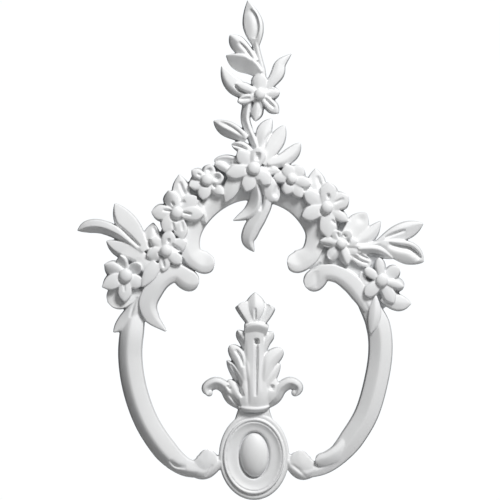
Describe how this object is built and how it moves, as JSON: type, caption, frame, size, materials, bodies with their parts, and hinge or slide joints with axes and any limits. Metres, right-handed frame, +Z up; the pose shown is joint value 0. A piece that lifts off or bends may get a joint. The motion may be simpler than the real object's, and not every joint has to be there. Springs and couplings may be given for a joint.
{
  "type": "moulded floral cartouche ornament",
  "caption": "Light moulded wall or ceiling ornament in relief: an open scroll frame with an oval cabochon, a palmette and a garland of blossoms and leaves.",
  "frame": {"origin": "on the flat back, behind the middle of the oval cabochon at the foot", "axes": "+Z up through the palmette to the sprig at the top, +X to the right as seen from the front, +Y out of the flat back towards the wall or ceiling; the relief faces -Y"},
  "size_m": [0.417, 0.031, 0.5995],
  "materials": {
    "moulded_white": "matte, factory primed white"
  },
  "bodies": {
    "root": {"ornament_casting": "moulded_white"}
  },
  "joints": []
}
